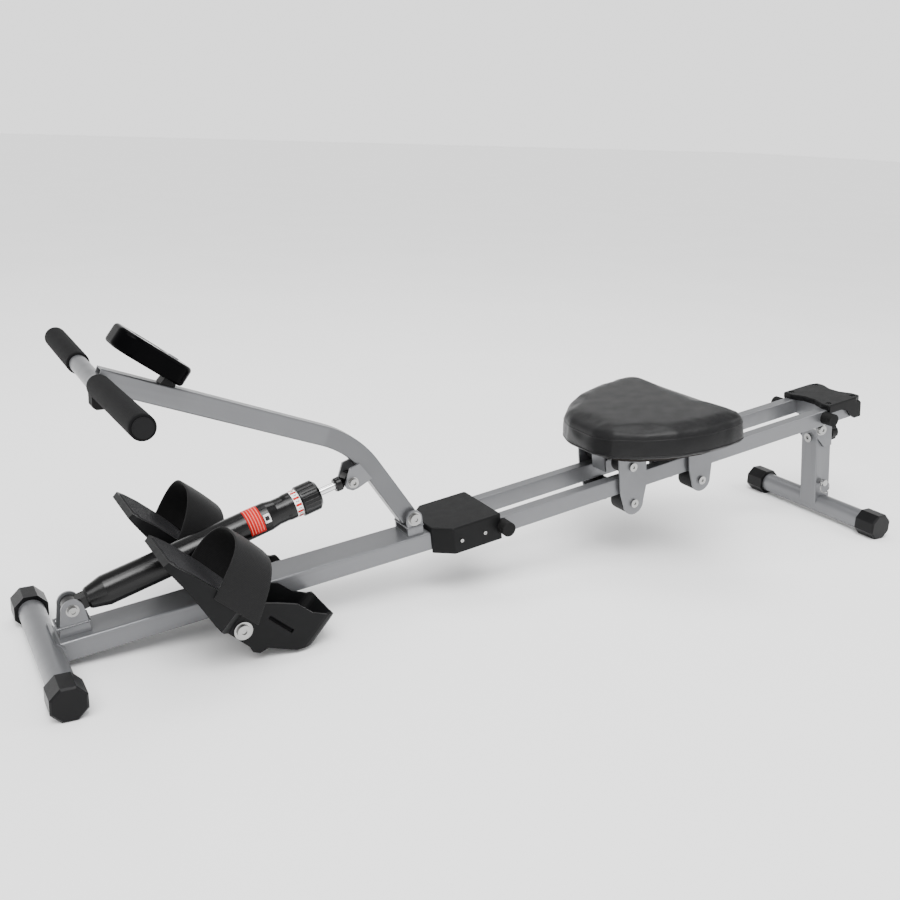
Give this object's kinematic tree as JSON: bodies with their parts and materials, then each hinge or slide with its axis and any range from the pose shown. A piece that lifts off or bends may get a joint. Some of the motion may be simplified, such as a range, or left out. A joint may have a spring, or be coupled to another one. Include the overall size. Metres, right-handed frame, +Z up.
{
  "type": "rowing machine",
  "caption": "Home rowing machine with a hydraulic resistance cylinder, a swinging pull arm, twin rails with a rolling seat, strapped foot plates and a folding rear leg",
  "frame": {"origin": "on the floor, in the middle of the bounding box", "axes": "+X towards the rear leg, +Y to the user's left when seated facing the handle, +Z up"},
  "size_m": [1.5438, 0.5398, 0.4666],
  "materials": {
    "silver": "satin silver paint",
    "cap_black": "matte black moulding",
    "rubber": "matte black rubber",
    "foam": "matte foam",
    "cylinder_black": "semi-gloss black",
    "scale_white": "printed scale",
    "plated": "zinc plated",
    "rod_chrome": "polished",
    "webbing": "woven webbing",
    "vinyl": "semi-matte vinyl",
    "board": "black stained plywood",
    "roller_grey": "dark grey moulding",
    "screen": "smooth display window",
    "key": "grey key"
  },
  "bodies": {
    "frame": {"front_foot_tube": "silver", "front_cap_right": "cap_black", "front_cap_left": "cap_black", "front_beam": "silver", "foot_saddle": "silver", "cylinder_bracket": "silver", "arm_bracket": "silver", "cylinder_bolt": "plated", "arm_bolt": "plated", "pedal_axle": "plated", "rail_left": "silver", "rail_right": "silver", "rail_crossmember": "silver", "junction_spacers": "silver", "joint_cover": "cap_black", "cover_screws": "plated", "rail_stops": "rubber", "leg_bracket": "silver", "leg_bolt": "plated", "rear_pad": "cap_black", "pad_screws": "plated"},
    "arm": {"arm_tube": "silver", "handlebar": "silver", "grip_right": "foam", "grip_left": "foam", "bar_plugs": "cap_black", "arm_bumper": "rubber", "rod_bracket": "silver", "rod_pin_ends": "plated", "display_housing": "cap_black", "display_screen": "screen", "display_stem": "cap_black"},
    "key_body": {"display_button": "key"},
    "cylinder": {"cylinder_body": "cylinder_black", "cylinder_eye": "cylinder_black", "scale_ring": "scale_white"},
    "dial": {"resistance_dial": "cylinder_black"},
    "rod": {"piston_rod": "rod_chrome", "rod_eye": "cylinder_black"},
    "pedal_right": {"foot_plate_right": "cap_black", "strap_right": "webbing"},
    "pedal_left": {"foot_plate_left": "cap_black", "strap_left": "webbing"},
    "seat": {"seat_cushion": "vinyl", "seat_board": "board", "carriage_channel": "silver", "front_side_plates": "silver", "rear_side_plates": "silver", "roller_axles": "plated"},
    "wheel_upper_front": {"upper_rollers_front": "roller_grey"},
    "wheel_upper_rear": {"upper_rollers_rear": "roller_grey"},
    "wheel_lower_front": {"lower_rollers_front": "roller_grey"},
    "wheel_lower_rear": {"lower_rollers_rear": "roller_grey"},
    "leg": {"leg_post": "silver", "rear_foot_tube": "silver", "rear_cap_right": "cap_black", "rear_cap_left": "cap_black", "lock_bolt": "plated"},
    "knob": {"lock_knob": "cap_black"},
    "pin": {"pull_pin": "plated"}
  },
  "joints": [
    {"name": "arm_swing", "type": "hinge", "parent": "frame", "child": "arm", "pos_m": [-0.19193, 0, 0.136], "axis": [0, 1, 0], "range_deg": [0, 45]},
    {"name": "cylinder_tilt", "type": "hinge", "parent": "frame", "child": "cylinder", "pos_m": [-0.71293, 0, 0.0805], "axis": [0, -1, 0], "range_deg": [-1, 5]},
    {"name": "rod_stroke", "type": "slide", "parent": "cylinder", "child": "rod", "axis": [0.9555, 0, 0.2949], "range_m": [-0.004, 0.105]},
    {"name": "dial_turn", "type": "hinge", "parent": "cylinder", "child": "dial", "pos_m": [-0.36225, 0, 0.18872], "axis": [0.9555, 0, 0.2949], "range_deg": [-150, 150]},
    {"name": "pedal_right_tilt", "type": "hinge", "parent": "frame", "child": "pedal_right", "pos_m": [-0.50691, 0, 0.05361], "axis": [0, 1, 0], "range_deg": [-40, 0]},
    {"name": "pedal_left_tilt", "type": "hinge", "parent": "frame", "child": "pedal_left", "pos_m": [-0.50691, 0, 0.05361], "axis": [0, 1, 0], "range_deg": [-40, 0]},
    {"name": "seat_slide", "type": "slide", "parent": "frame", "child": "seat", "axis": [0.9894, 0, 0.145], "range_m": [-0.221, 0.277]},
    {"name": "upper_front_roll", "type": "hinge", "parent": "seat", "child": "wheel_upper_front", "pos_m": [0.20877, 0, 0.18243], "axis": [0, 1, 0], "range_deg": [-800, 1000]},
    {"name": "upper_rear_roll", "type": "hinge", "parent": "seat", "child": "wheel_upper_rear", "pos_m": [0.36015, 0, 0.20462], "axis": [0, 1, 0], "range_deg": [-800, 1000]},
    {"name": "lower_front_roll", "type": "hinge", "parent": "seat", "child": "wheel_lower_front", "pos_m": [0.21863, 0, 0.11515], "axis": [0, 1, 0], "range_deg": [-800, 650]},
    {"name": "lower_rear_roll", "type": "hinge", "parent": "seat", "child": "wheel_lower_rear", "pos_m": [0.37002, 0, 0.13734], "axis": [0, 1, 0], "range_deg": [-800, 650]},
    {"name": "leg_fold", "type": "hinge", "parent": "frame", "child": "leg", "pos_m": [0.70624, 0, 0.18511], "axis": [0, 1, 0], "range_deg": [0, 75]},
    {"name": "knob_turn", "type": "hinge", "parent": "leg", "child": "knob", "pos_m": [0.75309, 0, 0.17025], "axis": [0.9894, 0, 0.145], "continuous": true},
    {"name": "pin_pull", "type": "slide", "parent": "leg", "child": "pin", "axis": [0, -1, 0], "range_m": [0, 0.05]},
    {"name": "key_press", "type": "slide", "parent": "arm", "child": "key_body", "axis": [-0.5793, 0, -0.8151], "range_m": [0, 0.0012], "stiffness_N_per_m": 300}
  ],
  "couplings": [
    {"joint": "cylinder_tilt", "follows": "arm_swing", "ratio": 0.07949},
    {"joint": "rod_stroke", "follows": "arm_swing", "m_per_rad": 0.11896},
    {"joint": "upper_front_roll", "follows": "seat_slide", "rad_per_m": 59.88},
    {"joint": "upper_rear_roll", "follows": "seat_slide", "rad_per_m": 59.88},
    {"joint": "lower_front_roll", "follows": "seat_slide", "rad_per_m": -48.781},
    {"joint": "lower_rear_roll", "follows": "seat_slide", "rad_per_m": -48.781}
  ]
}
